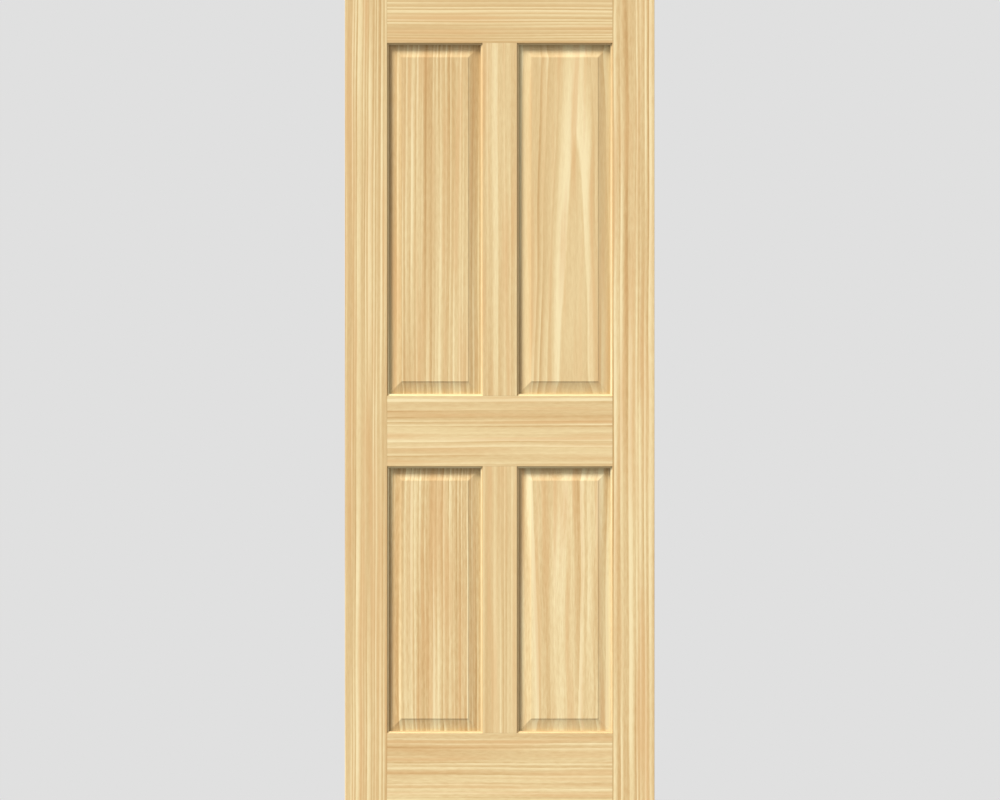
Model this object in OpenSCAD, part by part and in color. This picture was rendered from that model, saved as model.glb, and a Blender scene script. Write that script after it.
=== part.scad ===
// Four-panel interior door leaf in solid pine.
// Stiles, rails and muntins carry a hollow moulding and a groove along every panel edge.
// Rails are coped over the stiles and muntins over the rails, all held by glued dowels,
// and four raised and fielded panels float in the grooves.
// Origin: middle of the bottom edge. X runs across the leaf, Y through it and Z up it.
// The front face looks along -Y, and both faces are alike.

/* [Leaf] */
// Width of the leaf
leaf_w = 762; // [610:1:920]
// Height of the leaf
leaf_h = 1981; // [1900:1:2140]
// Thickness of the leaf
leaf_t = 35; // [32:0.5:44]
// Radius of the rounded arris down the long outer edges
arris_r = 1.5; // [0.5:0.25:3]

/* [Stiles, rails and muntins] */
// Width of each stile, its moulding included
stile_w = 108.5; // [95:0.5:140]
// Height of the top rail, its moulding included
top_rail_h = 112.5; // [95:0.5:160]
// Height of the lock rail, both its mouldings included
lock_rail_h = 183; // [150:0.5:230]
// Height of the lock rail's middle above the bottom edge
lock_rail_z = 918; // [820:1:1060]
// Height of the bottom rail, its moulding included
bottom_rail_h = 179.5; // [150:0.5:240]
// Width of each muntin, both its mouldings included
muntin_w = 94; // [85:0.5:130]

/* [Moulding and groove] */
// Radius of the hollow moulding along every panel edge
hollow_r = 5; // [4:0.5:11]
// Width of the panel groove
groove_w = 8; // [6:0.5:10]
// Depth of the panel groove
groove_d = 12; // [9:0.5:15]
// Gap between the end of a stub tenon and the floor of its groove
tenon_gap = 1; // [0.5:0.25:2]

/* [Panels] */
// Thickness of a panel at its raised field
panel_t = 20; // [16:0.5:22]
// Width of the hollow bevel round the field
bevel_w = 30; // [18:0.5:34]
// Depth of the hollow in the bevel, below a straight line across it
bevel_dip = 0.6; // [0.2:0.1:1.2]
// Height of the square step at the edge of the field
field_step = 0.6; // [0.4:0.1:1.5]
// Flat of the tongue that shows before the bevel starts
tongue_show = 0.5; // [0.25:0.25:2]
// Play on each face of a panel's tongue in its groove
tongue_play = 0.1; // [0.05:0.05:0.3]
// Room for a panel to swell, above it and at each side
swell_gap = 2; // [1:0.25:4]

/* [Dowels] */
// Diameter of the dowels
dowel_d = 12; // [8:0.5:14]
// Length of the dowels
dowel_l = 110; // [80:1:120]
// Chamfer on the ends of a dowel
dowel_chamfer = 1.5; // [0.5:0.25:3]
// Glue line round a dowel
glue_line = 0.05; // [0.02:0.01:0.1]
// Room for glue past the end of a dowel
glue_room = 2; // [1:0.5:4]
// Dowels in each end of the top rail
top_rail_dowels = 2; // [1:1:3]
// Dowels in each end of the lock rail
lock_rail_dowels = 3; // [2:1:4]
// Dowels in each end of the bottom rail
bottom_rail_dowels = 3; // [2:1:4]
// Dowels in each end of a muntin
muntin_dowels = 2; // [1:1:3]

/* [Hidden] */
$fn = 64;
pine = "#E7C994";
beech = "#D8B384";
// Overlap that lets a cut run clear of the face it opens
clear = 1;

// Sight lines: the edges of the frame members that the panels show between
sight_x = leaf_w / 2 - stile_w;
muntin_x = muntin_w / 2;
bottom_sight = bottom_rail_h;
lock_under = lock_rail_z - lock_rail_h / 2;
lock_over = lock_rail_z + lock_rail_h / 2;
top_sight = leaf_h - top_rail_h;

tenon_l = groove_d - tenon_gap;
tongue_t = groove_w - 2 * tongue_play;
bevel_rise = (panel_t - tongue_t) / 2 - field_step;
// Straight line across the bevel, and half the angle that its hollow turns through,
// which is at most the angle that lets it run out level onto the tongue
bevel_l = norm([bevel_w, bevel_rise]);
bevel_slope = atan2(bevel_rise, bevel_w);
bevel_turn = min(2 * atan2(2 * bevel_dip, bevel_l), bevel_slope);
bevel_r = bevel_l / (2 * sin(bevel_turn));
bevel_toe = bevel_slope - bevel_turn;
// Facets on the whole bevel circle, of which a short arc is used
bevel_fn = 360;

// Centres of a row of dowels, evenly spread over the ungrooved wood from low to high
function dowel_row(low, high, count) =
    [for (i = [0 : count - 1]) low + (high - low) * (i + 0.5) / count];

top_rail_row = dowel_row(top_sight + groove_d, leaf_h, top_rail_dowels);
lock_rail_row = dowel_row(lock_under + groove_d, lock_over - groove_d, lock_rail_dowels);
bottom_rail_row = dowel_row(0, bottom_sight - groove_d, bottom_rail_dowels);
muntin_row = dowel_row(groove_d - muntin_x, muntin_x - groove_d, muntin_dowels);

// Profiles, drawn with the wood's edge at x = 0 and the wood on the +X side

// What the cutter takes off a panel edge: a hollow on each face and the groove between
module moulded_edge() {
    for (face = [-1, 1])
        translate([0, face * leaf_t / 2]) circle(r = hollow_r);
    translate([-clear, -groove_w / 2]) square([groove_d + clear, groove_w]);
}

// What copes the end of a piece, so that it closes over a moulded edge
module cope() {
    difference() {
        translate([0, -leaf_t]) square([groove_d + hollow_r, 2 * leaf_t]);
        moulded_edge();
    }
}

// A stile across the grain, from its rounded outer edge to its moulded one
module stile_section() {
    difference() {
        union() {
            translate([arris_r, -leaf_t / 2]) square([stile_w - arris_r, leaf_t]);
            translate([0, arris_r - leaf_t / 2]) square([stile_w, leaf_t - 2 * arris_r]);
            for (face = [-1, 1])
                translate([arris_r, face * (leaf_t / 2 - arris_r)]) circle(r = arris_r);
        }
        translate([stile_w, 0]) mirror([1, 0]) moulded_edge();
    }
}

// A rail or muntin across the grain, between its two edges
module bar_section(low, high, mould_low, mould_high) {
    difference() {
        translate([low, -leaf_t / 2]) square([high - low, leaf_t]);
        if (mould_low) translate([low, 0]) moulded_edge();
        if (mould_high) translate([high, 0]) mirror([1, 0]) moulded_edge();
    }
}

// What the cutter takes off one face of a panel, outwards from the field to the tongue
module bevel_cut() {
    translate([-groove_d - clear, tongue_t / 2])
        square([groove_d + clear + tongue_show, panel_t]);
    intersection() {
        translate([tongue_show - bevel_r * sin(bevel_toe), tongue_t / 2 + bevel_r * cos(bevel_toe)])
            circle(r = bevel_r, $fn = bevel_fn);
        translate([tongue_show, 0]) square([bevel_w, panel_t]);
    }
}

// A panel across one way, with its field set out from the two sight lines
module panel_section(low_edge, high_edge, low_sight, high_sight) {
    difference() {
        translate([low_edge, -panel_t / 2]) square([high_edge - low_edge, panel_t]);
        for (face = [0, 1]) {
            translate([low_sight, 0]) mirror([0, face]) bevel_cut();
            translate([high_sight, 0]) mirror([1, 0]) mirror([0, face]) bevel_cut();
        }
    }
}

// Extrudes a profile drawn in Z and Y along X, centred on the leaf
module along_x(length) {
    rotate([0, -90, 0]) linear_extrude(height = length, center = true) children();
}

// Dowels and the holes that take them

module dowel() {
    barrel = dowel_l - 2 * dowel_chamfer;
    cylinder(d = dowel_d, h = barrel, center = true);
    for (end = [0, 1])
        mirror([0, 0, end]) translate([0, 0, barrel / 2])
            cylinder(d1 = dowel_d, d2 = dowel_d - 2 * dowel_chamfer, h = dowel_chamfer);
}

module dowel_hole() {
    cylinder(d = dowel_d + 2 * glue_line, h = dowel_l + 2 * glue_room, center = true);
}

// Places a row of dowels or holes across the joint of a rail's end and a stile
module at_rail_end(side, row) {
    for (z = row) translate([side * sight_x, 0, z]) rotate([0, 90, 0]) children();
}

// Places a row of dowels or holes across the joint of a muntin's end and a rail
module at_muntin_end(sight_z) {
    for (x = muntin_row) translate([x, 0, sight_z]) children();
}

// Frame members

module stile(side) {
    difference() {
        translate([side * leaf_w / 2, 0, 0]) mirror([side > 0 ? 1 : 0, 0, 0])
            linear_extrude(height = leaf_h) stile_section();
        for (row = [top_rail_row, lock_rail_row, bottom_rail_row])
            at_rail_end(side, row) dowel_hole();
    }
}

module rail(low, high, mould_low, mould_high, row) {
    difference() {
        along_x(2 * (sight_x + tenon_l)) bar_section(low, high, mould_low, mould_high);
        for (side = [-1, 1]) {
            translate([side * sight_x, 0, low - clear]) mirror([side < 0 ? 1 : 0, 0, 0])
                linear_extrude(height = high - low + 2 * clear) cope();
            at_rail_end(side, row) dowel_hole();
        }
        if (mould_low) at_muntin_end(low) dowel_hole();
        if (mould_high) at_muntin_end(high) dowel_hole();
    }
}

module muntin(low_sight, high_sight) {
    difference() {
        translate([0, 0, low_sight - tenon_l])
            linear_extrude(height = high_sight - low_sight + 2 * tenon_l)
                bar_section(-muntin_x, muntin_x, true, true);
        along_x(muntin_w + 2 * clear) {
            translate([low_sight, 0]) mirror([1, 0]) cope();
            translate([high_sight, 0]) cope();
        }
        for (sight_z = [low_sight, high_sight]) at_muntin_end(sight_z) dowel_hole();
    }
}

// A panel stands on the floor of the groove below it, with room to swell elsewhere
module panel(side, low_sight, high_sight) {
    inner = side < 0 ? -sight_x : muntin_x;
    outer = side < 0 ? -muntin_x : sight_x;
    tongue_l = groove_d - swell_gap;
    low_edge = low_sight - groove_d;
    high_edge = high_sight + tongue_l;
    intersection() {
        translate([0, 0, low_edge]) linear_extrude(height = high_edge - low_edge)
            panel_section(inner - tongue_l, outer + tongue_l, inner, outer);
        along_x(leaf_w) panel_section(low_edge, high_edge, low_sight, high_sight);
    }
}

// The pieces

module left_stile() { color(pine) stile(-1); }
module right_stile() { color(pine) stile(1); }

module top_rail() { color(pine) rail(top_sight, leaf_h, true, false, top_rail_row); }
module lock_rail() { color(pine) rail(lock_under, lock_over, true, true, lock_rail_row); }
module bottom_rail() { color(pine) rail(0, bottom_sight, false, true, bottom_rail_row); }

module upper_muntin() { color(pine) muntin(lock_over, top_sight); }
module lower_muntin() { color(pine) muntin(bottom_sight, lock_under); }

module upper_left_panel() { color(pine) panel(-1, lock_over, top_sight); }
module upper_right_panel() { color(pine) panel(1, lock_over, top_sight); }
module lower_left_panel() { color(pine) panel(-1, bottom_sight, lock_under); }
module lower_right_panel() { color(pine) panel(1, bottom_sight, lock_under); }

module top_rail_left_dowels() { color(beech) at_rail_end(-1, top_rail_row) dowel(); }
module top_rail_right_dowels() { color(beech) at_rail_end(1, top_rail_row) dowel(); }
module lock_rail_left_dowels() { color(beech) at_rail_end(-1, lock_rail_row) dowel(); }
module lock_rail_right_dowels() { color(beech) at_rail_end(1, lock_rail_row) dowel(); }
module bottom_rail_left_dowels() { color(beech) at_rail_end(-1, bottom_rail_row) dowel(); }
module bottom_rail_right_dowels() { color(beech) at_rail_end(1, bottom_rail_row) dowel(); }

module upper_muntin_head_dowels() { color(beech) at_muntin_end(top_sight) dowel(); }
module upper_muntin_foot_dowels() { color(beech) at_muntin_end(lock_over) dowel(); }
module lower_muntin_head_dowels() { color(beech) at_muntin_end(lock_under) dowel(); }
module lower_muntin_foot_dowels() { color(beech) at_muntin_end(bottom_sight) dowel(); }

left_stile();
right_stile();
top_rail();
lock_rail();
bottom_rail();
upper_muntin();
lower_muntin();
upper_left_panel();
upper_right_panel();
lower_left_panel();
lower_right_panel();
top_rail_left_dowels();
top_rail_right_dowels();
lock_rail_left_dowels();
lock_rail_right_dowels();
bottom_rail_left_dowels();
bottom_rail_right_dowels();
upper_muntin_head_dowels();
upper_muntin_foot_dowels();
lower_muntin_head_dowels();
lower_muntin_foot_dowels();
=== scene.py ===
"""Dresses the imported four-panel door: planed pine boards, beech dowels and a plain studio.

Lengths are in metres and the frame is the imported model's own: X across the leaf,
Y through it with the front face towards -Y, and Z up from the bottom edge.
"""
import math

import bpy
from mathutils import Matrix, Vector


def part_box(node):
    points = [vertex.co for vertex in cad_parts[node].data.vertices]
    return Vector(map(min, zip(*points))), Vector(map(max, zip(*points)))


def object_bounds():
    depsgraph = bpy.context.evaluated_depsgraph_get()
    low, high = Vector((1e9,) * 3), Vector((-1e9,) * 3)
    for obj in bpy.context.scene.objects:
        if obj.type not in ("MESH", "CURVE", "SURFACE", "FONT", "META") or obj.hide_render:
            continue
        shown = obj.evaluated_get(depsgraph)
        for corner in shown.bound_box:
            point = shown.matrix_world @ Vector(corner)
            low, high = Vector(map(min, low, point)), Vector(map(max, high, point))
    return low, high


bl_info = {
    "name": "Four-panel pine door",
    "version": (1, 0, 0),
    "blender": (4, 5, 0),
    "location": "3D View > Sidebar > Door",
    "description": "Finishes the boards and dowels of a panelled pine door and sets its studio",
    "category": "Object",
}

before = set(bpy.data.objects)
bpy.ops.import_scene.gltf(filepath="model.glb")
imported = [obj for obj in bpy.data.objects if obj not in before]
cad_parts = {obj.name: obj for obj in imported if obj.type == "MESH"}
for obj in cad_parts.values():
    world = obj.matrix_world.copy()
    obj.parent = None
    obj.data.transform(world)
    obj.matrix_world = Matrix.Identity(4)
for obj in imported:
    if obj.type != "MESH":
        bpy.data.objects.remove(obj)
CAD_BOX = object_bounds()

MM = 0.001

# The photograph's frame and the leaf's place in it
PHOTO_WIDTH_PX = 1000
PHOTO_HEIGHT_PX = 800
LEAF_WIDTH_PX = 309.6
LEAF_MIDDLE_PX = 499.72
LOCK_RAIL_MIDDLE_PX = 431.0

# Where the lamps shine from
KEY_FROM = (-1.2, -1.0, 2.1)
SOFT_FROM = (-1.0, -1.0, 1.8)
BACK_FROM = (1.5, 1.0, 0.9)

# The floor's size, the share of it that doesn't fade, and how far the camera sees
FLOOR_RADIUS = 0.75
FLOOR_PLAIN = 0.3
SIGHT = 100

# Width and length of what is drawn out along the grain
STRAY = (80 * MM, 550 * MM)
BROAD_STREAK = (32 * MM, 1200 * MM)
NARROW_STREAK = (5 * MM, 1200 * MM)
RESIN_STREAK = (17 * MM, 450 * MM)

# Rings widen and narrow in runs: noise steps to a ring, and how many rings the run moves them
RUN_PACE = 0.37
RUN_SHIFT = 1.8

# A year's lines swell and fade over this length, and each year's noise lies this far from the last's
SWELL_LENGTH = 800 * MM
YEAR_STEP = 7.31

# Noise levels between which a year's pale and brown lines grow from nothing to full strength
PALE_LEVELS = (0.34, 0.58)
BROWN_LEVELS = (0.45, 0.68)

# What each part of the pattern adds to a board's tone where it is strongest
BROAD_TONE = 1.05
NARROW_TONE = 0.38
FIBRE_TONE = 0.50
PALE_TONE = 0.50
BROWN_TONE = -0.30

# The tone of a plain board, from 0, brown, to 1, cream, and what the parts add up to on an ordinary spot
PLAIN_TONE = 0.56
PARTS_MIDDLE = 1.05

# Noise levels between which resin shows, and how far it tints the wood
RESIN_LEVELS = (0.48, 0.75)
RESIN_SHARE = 0.5

# How squarely a face must look along the grain to be a sawn end, and how far that darkens it
END_FACING = (0.8, 0.95)
END_SHARE = 0.85

# Saw marks lie across an edge, about 3 mm apart and longer than the leaf is thick
SAW_BARS = (1 / (3 * MM), 1 / (60 * MM), 0)
# Noise levels of a deep and a shallow saw mark
SAW_LEVELS = (0.35, 0.65)
# A point this near to the leaf's outermost plane lies on the sawn edge, which is darkened for its saw
# marks and with painted shade
SAWN_WITHIN = 0.2 * MM

# How far a rail's or muntin's shoulder stands back from the end of its stub tenon
SHOULDER_BACK = 6 * MM
# Width of the shadow beside a shoulder, and how far it tints the wood
SHADOW_WIDTH = 1.2 * MM
SHADOW_SHARE = 0.3

# How far late wood stands up against the fibres, and how much smoother it is
LATE_PROUD = 0.6
LATE_SMOOTHER = 0.12
# Depth and strength of the tooth that sanding leaves on pine, and turning on beech
PINE_TOOTH = (0.1 * MM, 0.3)
BEECH_TOOTH = (0.05 * MM, 0.2)

# Noise levels of a fleck in beech and of the ground round it
FLECK_LEVELS = (0.35, 0.55)


def linear(colour):
    """Turns an sRGB hex colour into the linear colour that the shaders use."""
    levels = [int(colour[i:i + 2], 16) / 255 for i in (1, 3, 5)]
    return [v / 12.92 if v <= 0.04045 else ((v + 0.055) / 1.055) ** 2.4 for v in levels]


def add(tree, kind, inputs=None, stops=(), **settings):
    """Adds a node, makes its settings, and sets or links its inputs.

    A ramp's stops start with its two outermost ones, which every new ramp has.
    """
    made = tree.nodes.new(kind)
    for name, value in settings.items():
        setattr(made, name, value)
    for name, value in (inputs or {}).items():
        if isinstance(value, bpy.types.NodeSocket):
            tree.links.new(value, made.inputs[name])
        else:
            made.inputs[name].default_value = value
    for index, (place, level) in enumerate(stops):
        element = made.color_ramp.elements[index] if index < 2 else made.color_ramp.elements.new(place)
        element.position = place
        element.color = (*level, 1.0)
    return made


def new_material(name):
    """Starts a material with an empty tree and returns both."""
    material = bpy.data.materials.new(name)
    material.use_nodes = True
    material.node_tree.nodes.clear()
    return material, material.node_tree


class PineFinish(bpy.types.PropertyGroup):
    """Colours and grain of the planed pine boards."""

    brown: bpy.props.FloatVectorProperty(
        name="Brown", description="Late wood at its darkest", subtype="COLOR", size=3,
        min=0, max=1, default=linear("#CCA268"))
    tan: bpy.props.FloatVectorProperty(
        name="Tan", description="Darker ground of the boards", subtype="COLOR", size=3,
        min=0, max=1, default=linear("#DBB77E"))
    honey: bpy.props.FloatVectorProperty(
        name="Honey", description="Common ground of the boards", subtype="COLOR", size=3,
        min=0, max=1, default=linear("#E6C891"))
    straw: bpy.props.FloatVectorProperty(
        name="Straw", description="Paler ground of the boards", subtype="COLOR", size=3,
        min=0, max=1, default=linear("#F1D8A2"))
    cream: bpy.props.FloatVectorProperty(
        name="Cream", description="Early wood at its palest", subtype="COLOR", size=3,
        min=0, max=1, default=linear("#FBE7B5"))
    amber: bpy.props.FloatVectorProperty(
        name="Amber", description="Tint of resin-rich streaks", subtype="COLOR", size=3,
        min=0, max=1, default=linear("#E2B277"))
    end_grain: bpy.props.FloatVectorProperty(
        name="End grain", description="Sawn ends of the boards", subtype="COLOR", size=3,
        min=0, max=1, default=linear("#AE8F62"))
    # Both saw tints are greyish and well below white, so besides the marks they paint shade on the top
    # and bottom edges
    dark_saw_mark_and_shade: bpy.props.FloatVectorProperty(
        name="Dark saw mark", description="Tint of a deep mark on a sawn edge", subtype="COLOR",
        size=3, min=0, max=1, default=linear("#C0B8AC"))
    pale_saw_mark_and_shade: bpy.props.FloatVectorProperty(
        name="Pale saw mark", description="Tint of a shallow mark on a sawn edge", subtype="COLOR",
        size=3, min=0, max=1, default=linear("#DAD3C8"))
    shadow: bpy.props.FloatVectorProperty(
        name="Shadow", description="Fine line beside a shoulder", subtype="COLOR", size=3,
        min=0, max=1, default=linear("#7A5A33"))
    thrown: bpy.props.FloatVectorProperty(
        name="Thrown light", description="Tint of the light that a board throws on its neighbours",
        subtype="COLOR", size=3, min=0, max=1, default=linear("#C8D4DC"))
    fibre_width: bpy.props.FloatProperty(
        name="Fibre width", description="Width of a bundle of fibres", unit="LENGTH", default=3.2 * MM)
    fibre_length: bpy.props.FloatProperty(
        name="Fibre length", description="Length of a bundle of fibres", unit="LENGTH", default=22 * MM)
    roughness: bpy.props.FloatProperty(
        name="Roughness", description="Roughness of planed and sanded pine", subtype="FACTOR",
        min=0, max=1, default=0.6)


class BeechFinish(bpy.types.PropertyGroup):
    """Colours and flecks of the turned beech dowels."""

    ground: bpy.props.FloatVectorProperty(
        name="Ground", description="Pinkish tan of the dowels", subtype="COLOR", size=3,
        min=0, max=1, default=linear("#D9B386"))
    fleck: bpy.props.FloatVectorProperty(
        name="Fleck", description="Dark flecks in the dowels", subtype="COLOR", size=3,
        min=0, max=1, default=linear("#B98A5E"))
    fleck_size: bpy.props.FloatProperty(
        name="Fleck size", description="Size of a fleck", unit="LENGTH", default=0.9 * MM)
    roughness: bpy.props.FloatProperty(
        name="Roughness", description="Roughness of turned beech", subtype="FACTOR",
        min=0, max=1, default=0.55)


class StudioSettings(bpy.types.PropertyGroup):
    """Colours and strengths of the studio."""

    backdrop: bpy.props.FloatVectorProperty(
        name="Backdrop", description="Plain colour behind the door", subtype="COLOR", size=3,
        min=0, max=1, default=linear("#E0E0E0"))
    floor: bpy.props.FloatVectorProperty(
        name="Floor", description="Grey paper under the door", subtype="COLOR", size=3,
        min=0, max=1, default=linear("#9F9F9F"))
    fill_strength: bpy.props.FloatProperty(
        name="Fill strength", description="Even light from all round", min=0, default=0.36)
    key_strength: bpy.props.FloatProperty(
        name="Key strength", description="Lamp from the upper left", min=0, default=3.76)
    key_spread: bpy.props.FloatProperty(
        name="Key spread", description="Apparent size of the key and back lamps", subtype="ANGLE",
        default=math.radians(16))
    soft_strength: bpy.props.FloatProperty(
        name="Soft strength", description="Large diffuser beside the key lamp", min=0, default=1.25)
    soft_spread: bpy.props.FloatProperty(
        name="Soft spread", description="Apparent size of the diffuser", subtype="ANGLE",
        default=math.radians(50))
    back_strength: bpy.props.FloatProperty(
        name="Back strength", description="Lamp for the back of the door", min=0, default=3.6)
    lens: bpy.props.FloatProperty(
        name="Lens", description="Focal length in millimetres", unit="CAMERA", min=1, default=800)


# Each board as sawn. grain is the axis that it runs along. pith is the way from the board's middle to
# the heart of its tree, across the face and behind it, in mm. lean tilts the tree against the board,
# across the face and into it, in degrees. ring is the mean width of a year's growth in mm, a few times
# coarser than real so that it shows, and early the share of it that is pale. wander is how far the
# grain strays, in mm. tone lightens the board, figure is how strongly its pattern shows, and lines how
# strongly the years show against the streaks. seed starts its random pattern. tone and seed were
# settled with trial renders.
BOARDS = {
    "left_stile": dict(
        grain="Z", pith=(-230, 60), lean=(0.1, 0.2), ring=8.5, early=0.44, wander=7,
        tone=-0.13, figure=0.7, lines=1.9, seed=200.7),
    "right_stile": dict(
        grain="Z", pith=(-160, 70), lean=(-0.1, 0.2), ring=13, early=0.40, wander=9,
        tone=-0.04, figure=1.1, lines=1.15, seed=242.2),
    "top_rail": dict(
        grain="X", pith=(190, 60), lean=(0.1, 0.2), ring=8.5, early=0.44, wander=7,
        tone=-0.05, figure=0.5, lines=1.9, seed=175.7),
    "lock_rail": dict(
        grain="X", pith=(-230, 80), lean=(-0.15, 0.2), ring=15, early=0.36, wander=10,
        tone=0.06, figure=0.8, lines=1.35, seed=214.3),
    "bottom_rail": dict(
        grain="X", pith=(230, 80), lean=(0.15, -0.2), ring=14, early=0.36, wander=10,
        tone=0.04, figure=1.1, lines=0.65, seed=331.9),
    "upper_muntin": dict(
        grain="Z", pith=(150, 70), lean=(0.1, 0.2), ring=15, early=0.36, wander=7,
        tone=0.05, figure=0.9, lines=0.65, seed=202.4),
    "lower_muntin": dict(
        grain="Z", pith=(-170, 65), lean=(-0.1, 0.2), ring=13, early=0.36, wander=7,
        tone=-0.03, figure=0.7, lines=0.85, seed=285.2),
    "upper_left_panel": dict(
        grain="Z", pith=(-260, 80), lean=(0.1, 0.2), ring=11, early=0.36, wander=8,
        tone=-0.1, figure=0.98, lines=1.0, seed=358.6),
    "upper_right_panel": dict(
        grain="Z", pith=(25, 60), lean=(0.4, -1.1), ring=20, early=0.45, wander=20,
        tone=0.02, figure=0.68, lines=1.15, seed=207.0),
    "lower_left_panel": dict(
        grain="Z", pith=(-240, 80), lean=(-0.1, 0.2), ring=11, early=0.36, wander=8,
        tone=0.05, figure=1.35, lines=0.8, seed=97.6),
    "lower_right_panel": dict(
        grain="Z", pith=(-20, 60), lean=(-0.4, 1.1), ring=20, early=0.45, wander=20,
        tone=0.1, figure=1.25, lines=1.0, seed=379.8),
}


def streaks(tree, log, size, detail):
    """Noise drawn out along the log, in streaks of about this width and length."""
    width, length = size
    steps = add(tree, "ShaderNodeVectorMath", {0: log, 1: (1 / width, 1 / width, 1 / length)},
                operation="MULTIPLY")
    return add(tree, "ShaderNodeTexNoise", {"Vector": steps.outputs[0], "Scale": 1, "Detail": detail})


def place_in_tree(tree, place, middle, board):
    """Where a point of the board stood in its tree, Z along the heart, with the grain's straying."""
    upright = board["grain"] == "Z"
    across, behind = (offset * MM for offset in board["pith"])
    lean_across, lean_in = (math.radians(angle) for angle in board["lean"])
    heart = middle + (Vector((across, behind, 0)) if upright else Vector((0, behind, across)))
    turn = (lean_in, lean_across + (0 if upright else math.radians(90)), 0)
    log = add(tree, "ShaderNodeMapping",
              {"Vector": place.outputs["Object"], "Location": heart, "Rotation": turn},
              vector_type="TEXTURE")
    seeded = add(tree, "ShaderNodeVectorMath", {0: log.outputs[0], 1: (0, 0, board["seed"])},
                 operation="ADD").outputs[0]

    # The grain strays by a few millimetres over a hand's width and an arm's length
    stray = streaks(tree, seeded, STRAY, 1)
    stray_mid = add(tree, "ShaderNodeVectorMath", {0: stray.outputs["Color"], 1: (0.5, 0.5, 0.5)},
                    operation="SUBTRACT")
    wander = board["wander"] * MM
    stray_by = add(tree, "ShaderNodeVectorMath", {0: stray_mid.outputs[0], 1: (wander, wander, 0)},
                   operation="MULTIPLY")
    return add(tree, "ShaderNodeVectorMath", {0: seeded, 1: stray_by.outputs[0]},
               operation="ADD").outputs[0]


def year_rings(tree, grown, board):
    """Counts the rings out from the heart and returns the pale and the brown part of each.

    Pale early wood starts sharply at the edge of a ring and fades outwards, and a thin brown line of
    late wood closes the ring. Along the tree, each year's two parts swell and fade in their own way.
    """
    across = add(tree, "ShaderNodeVectorMath", {0: grown, 1: (1, 1, 0)}, operation="MULTIPLY")
    radius = add(tree, "ShaderNodeVectorMath", {0: across.outputs[0]}, operation="LENGTH")
    even = add(tree, "ShaderNodeMath", {0: radius.outputs["Value"], 1: 1 / (board["ring"] * MM)},
               operation="MULTIPLY").outputs[0]
    run = add(tree, "ShaderNodeMath", {0: even, 1: RUN_PACE, 2: board["seed"]}, operation="MULTIPLY_ADD")
    uneven = add(tree, "ShaderNodeTexNoise", {"W": run.outputs[0], "Scale": 1, "Detail": 1},
                 noise_dimensions="1D")
    count = add(tree, "ShaderNodeMath", {0: uneven.outputs[0], 1: RUN_SHIFT, 2: even},
                operation="MULTIPLY_ADD").outputs[0]
    phase = add(tree, "ShaderNodeMath", {0: count}, operation="FRACT").outputs[0]
    year = add(tree, "ShaderNodeMath", {0: count}, operation="FLOOR").outputs[0]

    along = add(tree, "ShaderNodeSeparateXYZ", {0: grown}).outputs["Z"]
    own = add(tree, "ShaderNodeMath", {0: year, 1: YEAR_STEP, 2: board["seed"]}, operation="MULTIPLY_ADD")
    slow = add(tree, "ShaderNodeMath", {0: along, 1: 1 / SWELL_LENGTH}, operation="MULTIPLY")
    year_place = add(tree, "ShaderNodeCombineXYZ", {"X": own.outputs[0], "Y": slow.outputs[0]})
    growth = add(tree, "ShaderNodeTexNoise", {"Vector": year_place.outputs[0], "Scale": 1, "Detail": 1})
    parts = add(tree, "ShaderNodeSeparateColor", {0: growth.outputs["Color"]})
    pale_depth = add(tree, "ShaderNodeMapRange",
                     {"Value": parts.outputs["Red"], "From Min": PALE_LEVELS[0],
                      "From Max": PALE_LEVELS[1]})
    brown_depth = add(tree, "ShaderNodeMapRange",
                      {"Value": parts.outputs["Green"], "From Min": BROWN_LEVELS[0],
                       "From Max": BROWN_LEVELS[1]})

    # Stops are shares of a ring's width. Early wood is palest just outside the last ring and is gone at
    # one and a half times its share. Late wood darkens over the outer part and ends at the ring's edge.
    early = board["early"]
    pale_line = add(tree, "ShaderNodeValToRGB", {"Fac": phase}, stops=[
        (0.0, (0, 0, 0)), (early * 1.5, (0, 0, 0)), (0.06, (1, 1, 1)),
        (early * 0.75, (0.75, 0.75, 0.75))])
    brown_line = add(tree, "ShaderNodeValToRGB", {"Fac": phase}, stops=[
        (0.6, (0, 0, 0)), (1.0, (0, 0, 0)), (0.88, (1, 1, 1)), (0.97, (1, 1, 1))])
    pale = add(tree, "ShaderNodeMath", {0: pale_line.outputs["Color"], 1: pale_depth.outputs[0]},
               operation="MULTIPLY").outputs[0]
    brown = add(tree, "ShaderNodeMath", {0: brown_line.outputs["Color"], 1: brown_depth.outputs[0]},
                operation="MULTIPLY").outputs[0]
    return pale, brown


def wood_colour(tree, grown, finish, board, pale, brown, fibre):
    """Colours the wood by its tone and reddens the stretches that hold more resin."""
    broad = streaks(tree, grown, BROAD_STREAK, 1).outputs[0]
    narrow = streaks(tree, grown, NARROW_STREAK, 2).outputs[0]
    figure = board["figure"]
    lines = board["lines"]
    parts = (
        (broad, BROAD_TONE),
        (narrow, NARROW_TONE),
        (fibre, FIBRE_TONE),
        (pale, PALE_TONE * lines),
        (brown, BROWN_TONE * lines),
    )
    tone = PLAIN_TONE + board["tone"] - PARTS_MIDDLE * figure
    for part, most in parts:
        tone = add(tree, "ShaderNodeMath", {0: part, 1: most * figure, 2: tone},
                   operation="MULTIPLY_ADD").outputs[0]
    wood = add(tree, "ShaderNodeValToRGB", {"Fac": tone}, stops=[
        (0.0, finish.brown), (1.0, finish.cream), (0.25, finish.tan), (0.5, finish.honey),
        (0.75, finish.straw)])

    resin = streaks(tree, grown, RESIN_STREAK, 1).outputs[0]
    resin_part = add(tree, "ShaderNodeMapRange",
                     {"Value": resin, "From Min": RESIN_LEVELS[0], "From Max": RESIN_LEVELS[1],
                      "To Max": RESIN_SHARE})
    return add(tree, "ShaderNodeMix",
               {"Factor": resin_part.outputs[0], 6: wood.outputs["Color"], 7: (*finish.amber, 1)},
               data_type="RGBA").outputs[2]


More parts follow.
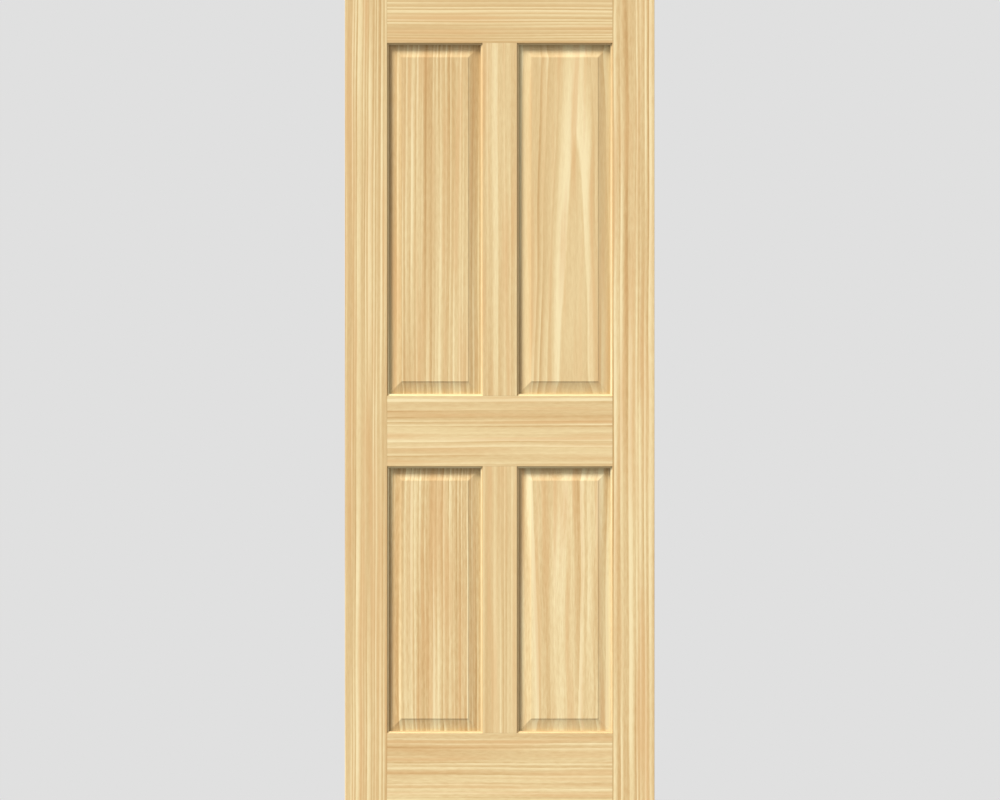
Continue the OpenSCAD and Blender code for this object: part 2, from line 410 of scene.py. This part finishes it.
def sawn_ends(tree, place, colour, finish, upright):
    """Darkens the sawn ends of a board, which drink light."""
    grain_axis = (0, 0, 1) if upright else (1, 0, 0)
    facing = add(tree, "ShaderNodeVectorMath", {0: place.outputs["Normal"], 1: grain_axis},
                 operation="DOT_PRODUCT")
    square_on = add(tree, "ShaderNodeMath", {0: facing.outputs["Value"]}, operation="ABSOLUTE")
    end_part = add(tree, "ShaderNodeMapRange",
                   {"Value": square_on.outputs[0], "From Min": END_FACING[0], "From Max": END_FACING[1],
                    "To Max": END_SHARE})
    return add(tree, "ShaderNodeMix",
               {"Factor": end_part.outputs[0], 6: colour, 7: (*finish.end_grain, 1)},
               data_type="RGBA").outputs[2]


def sawn_and_shaded_edge(tree, place, colour, finish, outer_edge):
    """Dulls the leaf's top or bottom edge, which is left as sawn and is barred by the saw. The dulling is
    partly painted shade, which keeps the top edge, lit by the key lamp, from glaring.
    """
    height = add(tree, "ShaderNodeSeparateXYZ", {0: place.outputs["Object"]}).outputs["Z"]
    sawn = add(tree, "ShaderNodeMath", {0: height, 1: outer_edge, 2: SAWN_WITHIN}, operation="COMPARE")
    bars = add(tree, "ShaderNodeVectorMath", {0: place.outputs["Object"], 1: SAW_BARS},
               operation="MULTIPLY")
    bar = add(tree, "ShaderNodeTexNoise", {"Vector": bars.outputs[0], "Scale": 1, "Detail": 1})
    dull_and_shade = add(tree, "ShaderNodeValToRGB", {"Fac": bar.outputs[0]}, stops=[
        (SAW_LEVELS[0], finish.dark_saw_mark_and_shade), (SAW_LEVELS[1], finish.pale_saw_mark_and_shade)])
    return add(tree, "ShaderNodeMix",
               {"Factor": sawn.outputs[0], 6: colour, 7: dull_and_shade.outputs["Color"]},
               data_type="RGBA", blend_type="MULTIPLY").outputs[2]


def shoulder_shadow(tree, place, colour, finish, axis, middle, half_length):
    """Draws a fine shadow line where a rail or muntin meets the piece that it is shouldered against."""
    shoulder = half_length - SHOULDER_BACK
    run = add(tree, "ShaderNodeSeparateXYZ", {0: place.outputs["Object"]}).outputs[axis]
    from_middle = add(tree, "ShaderNodeMath", {0: run, 1: middle[axis]}, operation="SUBTRACT")
    out = add(tree, "ShaderNodeMath", {0: from_middle.outputs[0]}, operation="ABSOLUTE")
    line = add(tree, "ShaderNodeMapRange",
               {"Value": out.outputs[0], "From Min": shoulder - SHADOW_WIDTH, "From Max": shoulder,
                "To Max": SHADOW_SHARE})
    return add(tree, "ShaderNodeMix",
               {"Factor": line.outputs[0], 6: colour, 7: (*finish.shadow, 1)},
               data_type="RGBA").outputs[2]


def planed_pine(node_name, finish, board):
    """Clear pine, planed and sanded, with no finish on it.

    It gives the eye a warm honey ground with pale early-wood lines and thin brown late-wood lines, soft
    streaks between them, and a matt face with a fine tooth along the grain. The pattern is solid: rings
    stand round the heart of the tree, so faces show lines and sawn ends show arcs.
    """
    material, tree = new_material(f"planed_pine.{node_name}")
    low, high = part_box(node_name)
    middle = (low + high) / 2
    upright = board["grain"] == "Z"
    place = add(tree, "ShaderNodeTexCoord")
    grown = place_in_tree(tree, place, middle, board)
    pale, brown = year_rings(tree, grown, board)
    # Real fibres are finer still: these are as coarse as they need to be to show
    fibre = streaks(tree, grown, (finish.fibre_width, finish.fibre_length), 2).outputs[0]

    colour = wood_colour(tree, grown, finish, board, pale, brown, fibre)
    colour = sawn_ends(tree, place, colour, finish, upright)
    # Saw marks and painted shade on the leaf's top and bottom edges
    if node_name == "top_rail":
        colour = sawn_and_shaded_edge(tree, place, colour, finish, high[2])
    if node_name == "bottom_rail":
        colour = sawn_and_shaded_edge(tree, place, colour, finish, low[2])
    if node_name.endswith(("rail", "muntin")):
        axis = 2 if upright else 0
        colour = shoulder_shadow(tree, place, colour, finish, axis, middle, (high[axis] - low[axis]) / 2)

    # Boards side by side would warm each other's bevels too much, so the light that they throw is dulled
    ray = add(tree, "ShaderNodeLightPath")
    colour = add(tree, "ShaderNodeMix",
                 {"Factor": ray.outputs["Is Diffuse Ray"], 6: colour, 7: (*finish.thrown, 1)},
                 data_type="RGBA", blend_type="MULTIPLY").outputs[2]

    # Late wood is harder: sanding leaves it a little proud and a little smoother
    relief = add(tree, "ShaderNodeMath", {0: brown, 1: LATE_PROUD, 2: fibre}, operation="MULTIPLY_ADD")
    depth, strength = PINE_TOOTH
    bump = add(tree, "ShaderNodeBump",
               {"Height": relief.outputs[0], "Strength": strength, "Distance": depth})
    rough = add(tree, "ShaderNodeMath", {0: brown, 1: -LATE_SMOOTHER, 2: finish.roughness},
                operation="MULTIPLY_ADD")
    shader = add(tree, "ShaderNodeBsdfPrincipled",
                 {"Base Color": colour, "Roughness": rough.outputs[0], "Normal": bump.outputs[0]})
    add(tree, "ShaderNodeOutputMaterial", {"Surface": shader.outputs[0]})
    return material


def turned_beech(finish):
    """Turned beech: an even pinkish tan with small dark flecks and the faint tooth of the lathe."""
    material, tree = new_material("turned_beech")
    place = add(tree, "ShaderNodeTexCoord")
    # A streak as long as it is wide is a fleck
    fleck = streaks(tree, place.outputs["Object"], (finish.fleck_size, finish.fleck_size), 2)
    colour = add(tree, "ShaderNodeValToRGB", {"Fac": fleck.outputs[0]}, stops=[
        (FLECK_LEVELS[0], finish.fleck), (FLECK_LEVELS[1], finish.ground)])
    depth, strength = BEECH_TOOTH
    bump = add(tree, "ShaderNodeBump",
               {"Height": fleck.outputs[0], "Strength": strength, "Distance": depth})
    shader = add(tree, "ShaderNodeBsdfPrincipled",
                 {"Base Color": colour.outputs["Color"], "Roughness": finish.roughness,
                  "Normal": bump.outputs[0]})
    add(tree, "ShaderNodeOutputMaterial", {"Surface": shader.outputs[0]})
    return material


def finish_piece(node_name, material):
    """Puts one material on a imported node."""
    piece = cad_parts.get(node_name)
    if piece is None:
        raise RuntimeError(f"the frame has no node {node_name}")
    piece.data.materials.clear()
    piece.data.materials.append(material)


def finish_boards(context, ending):
    """Gives every board whose name has this ending a pine of its own."""
    for node_name, board in BOARDS.items():
        if node_name.endswith(ending):
            finish_piece(node_name, planed_pine(node_name, context.scene.pine_finish, board))


class DOOR_OT_finish_stiles(bpy.types.Operator):
    """Finish the two stiles in planed pine"""

    bl_idname = "door.finish_stiles"
    bl_label = "Finish stiles"

    def execute(self, context):
        finish_boards(context, "stile")
        return {"FINISHED"}


class DOOR_OT_finish_rails(bpy.types.Operator):
    """Finish the three rails in planed pine"""

    bl_idname = "door.finish_rails"
    bl_label = "Finish rails"

    def execute(self, context):
        finish_boards(context, "rail")
        return {"FINISHED"}


class DOOR_OT_finish_muntins(bpy.types.Operator):
    """Finish the two muntins in planed pine"""

    bl_idname = "door.finish_muntins"
    bl_label = "Finish muntins"

    def execute(self, context):
        finish_boards(context, "muntin")
        return {"FINISHED"}


class DOOR_OT_finish_panels(bpy.types.Operator):
    """Finish the four raised and fielded panels in planed pine"""

    bl_idname = "door.finish_panels"
    bl_label = "Finish panels"

    def execute(self, context):
        finish_boards(context, "panel")
        return {"FINISHED"}


class DOOR_OT_finish_dowels(bpy.types.Operator):
    """Finish the hidden dowels in turned beech"""

    bl_idname = "door.finish_dowels"
    bl_label = "Finish dowels"

    def execute(self, context):
        beech = turned_beech(context.scene.beech_finish)
        for node_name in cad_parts:
            if node_name.endswith("dowels"):
                finish_piece(node_name, beech)
        return {"FINISHED"}


def plain_floor(studio, radius):
    """Matt studio paper: a grey disc with no gloss, which fades into the backdrop towards its rim.

    Lit, it is about as pale as the backdrop, so that little shows on it but the door's shadow.
    """
    rim_count = 96
    angles = [2 * math.pi * i / rim_count for i in range(rim_count)]
    rim = [(radius * math.cos(a), radius * math.sin(a), 0.0) for a in angles]
    mesh = bpy.data.meshes.new("studio_floor")
    mesh.from_pydata(rim, [], [list(range(rim_count))])
    floor = bpy.data.objects.new("studio_floor", mesh)
    bpy.context.scene.collection.objects.link(floor)
    # It throws no light back, so that the leaf is lit evenly from top to bottom
    floor.visible_diffuse = False

    material, tree = new_material("matt_studio_paper")
    place = add(tree, "ShaderNodeTexCoord")
    distance = add(tree, "ShaderNodeVectorMath", {0: place.outputs["Object"]}, operation="LENGTH")
    fade = add(tree, "ShaderNodeMapRange",
               {"Value": distance.outputs["Value"], "From Min": FLOOR_PLAIN * radius, "From Max": radius},
               interpolation_type="SMOOTHSTEP")
    matt = add(tree, "ShaderNodeBsdfDiffuse", {"Color": (*studio.floor, 1)})
    clear = add(tree, "ShaderNodeBsdfTransparent")
    faded = add(tree, "ShaderNodeMixShader",
                {0: fade.outputs[0], 1: matt.outputs[0], 2: clear.outputs[0]})
    add(tree, "ShaderNodeOutputMaterial", {"Surface": faded.outputs[0]})
    mesh.materials.append(material)


def studio_world(studio):
    """A plain backdrop for the eye, and a weaker even fill for everything that is lit."""
    world = bpy.data.worlds.new("studio")
    bpy.context.scene.world = world
    world.use_nodes = True
    tree = world.node_tree
    tree.nodes.clear()
    ray = add(tree, "ShaderNodeLightPath")
    seen = add(tree, "ShaderNodeBackground", {"Color": (*studio.backdrop, 1)})
    fill = add(tree, "ShaderNodeBackground", {"Color": (1, 1, 1, 1), "Strength": studio.fill_strength})
    both = add(tree, "ShaderNodeMixShader",
               {0: ray.outputs["Is Camera Ray"], 1: fill.outputs[0], 2: seen.outputs[0]})
    add(tree, "ShaderNodeOutputWorld", {"Surface": both.outputs[0]})


def soft_sun(name, comes_from, strength, spread):
    """A broad, distant lamp that shines from the given direction."""
    data = bpy.data.lights.new(name, "SUN")
    data.energy = strength
    data.angle = spread
    sun = bpy.data.objects.new(name, data)
    sun.rotation_euler = Vector(comes_from).to_track_quat("Z", "Y").to_euler()
    bpy.context.scene.collection.objects.link(sun)


def square_camera(studio):
    """A distant camera square to the front face, with the leaf at its place in the photograph's frame."""
    low, high = CAD_BOX
    metres_per_px = (high[0] - low[0]) / LEAF_WIDTH_PX
    rail_low, rail_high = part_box("lock_rail")
    rail_middle = (rail_low[2] + rail_high[2]) / 2
    data = bpy.data.cameras.new("camera")
    data.lens = studio.lens
    data.clip_end = SIGHT
    distance = PHOTO_WIDTH_PX * metres_per_px * data.lens / data.sensor_width
    camera = bpy.data.objects.new("camera", data)
    camera.location = (
        (PHOTO_WIDTH_PX / 2 - LEAF_MIDDLE_PX) * metres_per_px,
        low[1] - distance,
        rail_middle + (LOCK_RAIL_MIDDLE_PX - PHOTO_HEIGHT_PX / 2) * metres_per_px,
    )
    camera.rotation_euler = (math.radians(90), 0, 0)
    bpy.context.scene.collection.objects.link(camera)
    bpy.context.scene.camera = camera


class DOOR_OT_set_studio(bpy.types.Operator):
    """Set the backdrop, the floor, the lights and the camera square to the front face"""

    bl_idname = "door.set_studio"
    bl_label = "Set studio"

    def execute(self, context):
        studio = context.scene.door_studio
        studio_world(studio)
        plain_floor(studio, FLOOR_RADIUS)
        soft_sun("key_lamp", KEY_FROM, studio.key_strength, studio.key_spread)
        soft_sun("soft_lamp", SOFT_FROM, studio.soft_strength, studio.soft_spread)
        soft_sun("back_lamp", BACK_FROM, studio.back_strength, studio.key_spread)
        square_camera(studio)
        context.scene.view_settings.view_transform = "Standard"
        return {"FINISHED"}


OPERATORS = (
    DOOR_OT_finish_stiles,
    DOOR_OT_finish_rails,
    DOOR_OT_finish_muntins,
    DOOR_OT_finish_panels,
    DOOR_OT_finish_dowels,
    DOOR_OT_set_studio,
)


class DOOR_PT_sidebar(bpy.types.Panel):
    """Lists the door's finishes and the studio"""

    bl_idname = "DOOR_PT_sidebar"
    bl_label = "Four-panel pine door"
    bl_space_type = "VIEW_3D"
    bl_region_type = "UI"
    bl_category = "Door"

    def draw(self, context):
        scene = context.scene
        for settings in (scene.pine_finish, scene.beech_finish, scene.door_studio):
            for name in settings.bl_rna.properties.keys():
                if name not in ("rna_type", "name"):
                    self.layout.prop(settings, name)
        for operator in OPERATORS:
            self.layout.operator(operator.bl_idname)


CLASSES = (PineFinish, BeechFinish, StudioSettings, *OPERATORS, DOOR_PT_sidebar)


def register():
    for cls in CLASSES:
        bpy.utils.register_class(cls)
    bpy.types.Scene.pine_finish = bpy.props.PointerProperty(type=PineFinish)
    bpy.types.Scene.beech_finish = bpy.props.PointerProperty(type=BeechFinish)
    bpy.types.Scene.door_studio = bpy.props.PointerProperty(type=StudioSettings)


def unregister():
    del bpy.types.Scene.door_studio
    del bpy.types.Scene.beech_finish
    del bpy.types.Scene.pine_finish
    for cls in reversed(CLASSES):
        bpy.utils.unregister_class(cls)


def main():
    """Dresses the door."""
    register()
    bpy.ops.door.finish_stiles()
    bpy.ops.door.finish_rails()
    bpy.ops.door.finish_muntins()
    bpy.ops.door.finish_panels()
    bpy.ops.door.finish_dowels()
    bpy.ops.door.set_studio()


if __name__ == "__main__":
    main()
